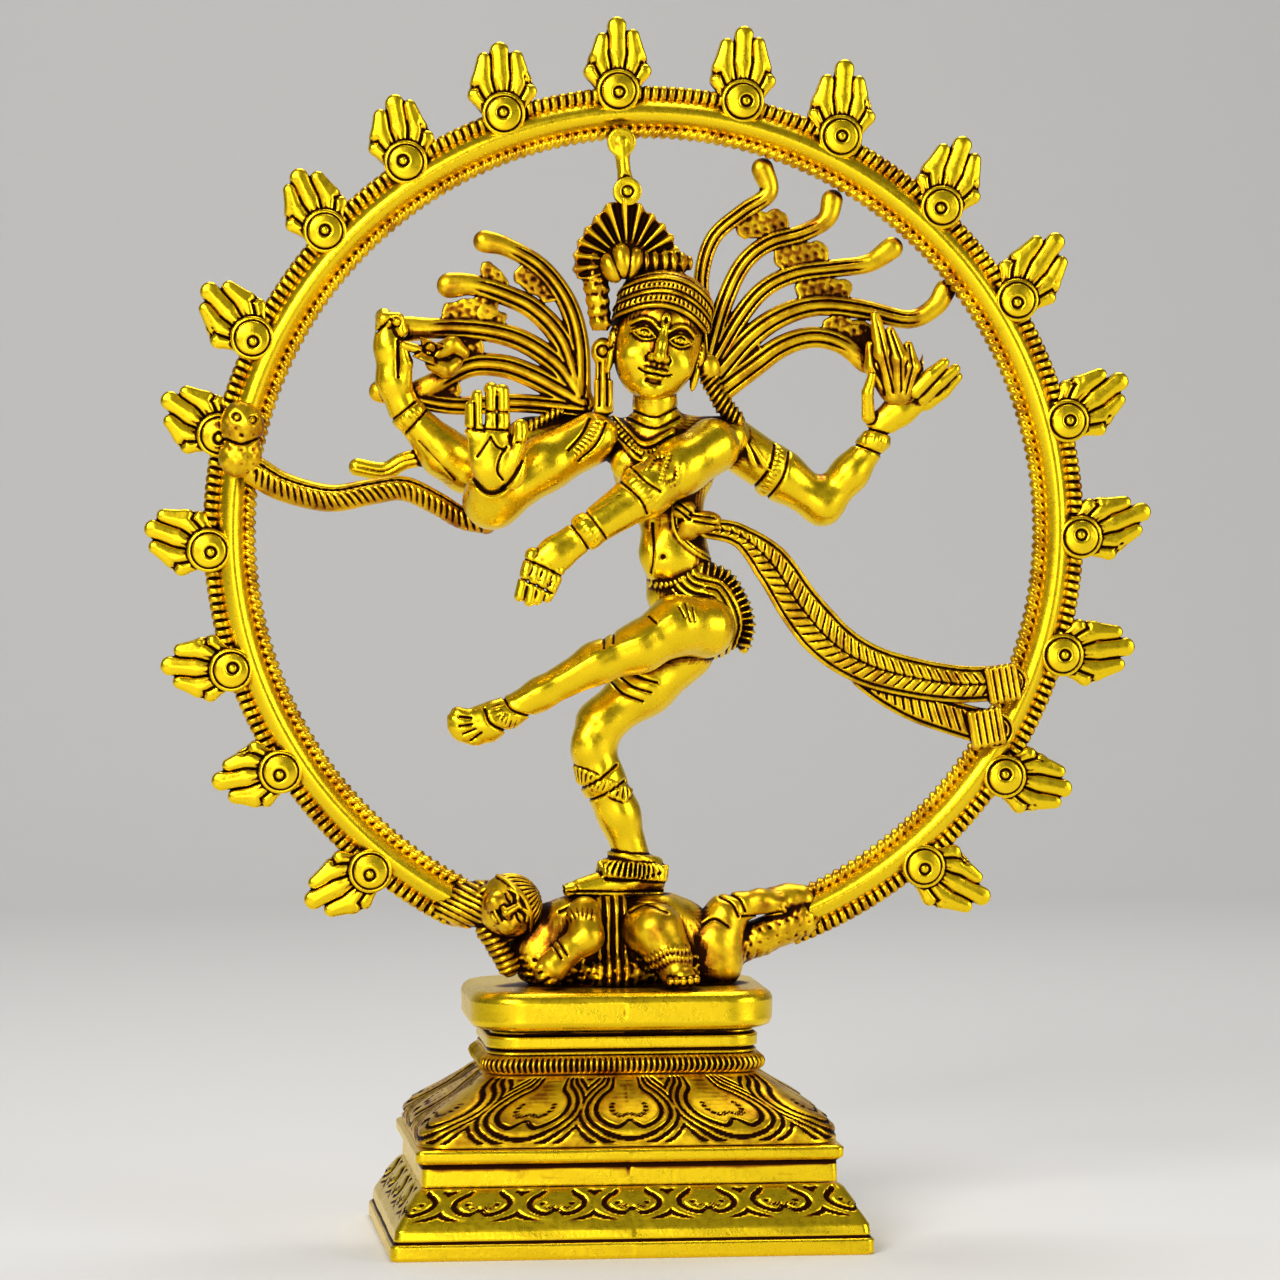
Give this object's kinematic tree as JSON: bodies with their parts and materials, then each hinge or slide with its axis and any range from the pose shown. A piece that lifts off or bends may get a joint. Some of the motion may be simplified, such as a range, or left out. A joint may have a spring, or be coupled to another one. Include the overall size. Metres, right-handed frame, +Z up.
{
  "type": "dancing figure statue",
  "caption": "Cast brass four-armed dancer on a crouching dwarf, inside an upright ring of flames, on a stepped rectangular lotus pedestal.",
  "frame": {"origin": "centre of the statue's overall box, on the surface it stands on", "axes": "+Z up, the figure faces -Y, +X to the viewer's right when looking at its front"},
  "size_m": [0.1674, 0.056, 0.2031],
  "materials": {
    "polished_brass": "hand-polished high spots with dark patina in the recesses",
    "aged_brass": "chased and antiqued, dark brown patina between the cuts",
    "fixing_steel": "plain turned steel, dull"
  },
  "bodies": {
    "root": {"ring_bar": "polished_brass", "crest_strap": "polished_brass", "pedestal_foot": "polished_brass", "pedestal_riser": "polished_brass", "pedestal_neck": "polished_brass", "pedestal_slab": "polished_brass", "torso": "polished_brass", "hips": "polished_brass", "lifted_leg": "polished_brass", "standing_leg": "polished_brass", "head": "polished_brass", "front_left_arm": "polished_brass", "rear_left_arm": "polished_brass", "front_right_arm": "polished_brass", "rear_right_arm": "polished_brass", "flame_01": "polished_brass", "flame_02": "polished_brass", "flame_03": "polished_brass", "flame_04": "polished_brass", "flame_05": "polished_brass", "flame_06": "polished_brass", "flame_07": "polished_brass", "flame_08": "polished_brass", "flame_09": "polished_brass", "flame_10": "polished_brass", "flame_11": "polished_brass", "flame_12": "polished_brass", "flame_13": "polished_brass", "flame_14": "polished_brass", "flame_15": "polished_brass", "flame_16": "polished_brass", "flame_17": "polished_brass", "flame_18": "polished_brass", "flame_19": "polished_brass", "ring_inner_rope": "aged_brass", "ring_outer_rope": "aged_brass", "lotus_cone": "aged_brass", "bead_ring": "aged_brass", "dwarf_body": "aged_brass", "dwarf_head": "aged_brass", "dwarf_bent_leg": "aged_brass", "dwarf_arm": "aged_brass", "dwarf_far_leg": "aged_brass", "diadem": "aged_brass", "crest": "aged_brass", "hand_fire": "aged_brass", "hand_drum": "aged_brass", "waist_knot": "aged_brass", "ear_pendant_left": "aged_brass", "ear_pendant_right": "aged_brass", "hair_right": "aged_brass", "hair_left": "aged_brass", "serpent_head": "aged_brass", "serpent_body": "aged_brass", "sash": "aged_brass", "fixing_stud": "fixing_steel", "fixing_washer": "fixing_steel", "fixing_nut": "fixing_steel"}
  },
  "joints": []
}
